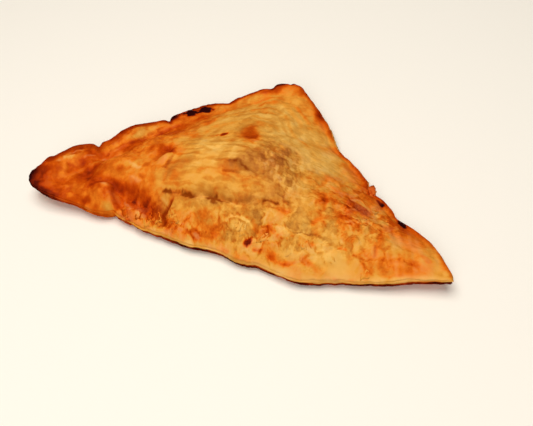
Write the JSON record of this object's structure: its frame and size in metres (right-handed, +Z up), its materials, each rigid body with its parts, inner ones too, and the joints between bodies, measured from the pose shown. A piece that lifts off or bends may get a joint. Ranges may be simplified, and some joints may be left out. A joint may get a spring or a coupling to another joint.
{
  "type": "vegetable puff",
  "caption": "Baked vegetable puff: a flaky triangular puff pastry, folded along its long front edge and sealed along the two back edges, with a browned, blistered crown.",
  "frame": {"origin": "middle of the bounding box's floor, on the surface that the puff rests on", "axes": "+X along the long folded front edge, towards the right tip; +Y from that edge towards the back corner; +Z up"},
  "size_m": [0.1686, 0.0976, 0.026],
  "materials": {
    "baked_crust": "flaky golden-brown baked crust with a faint glaze, darker and redder towards the edges"
  },
  "bodies": {
    "root": {"pastry": "baked_crust"}
  },
  "joints": []
}
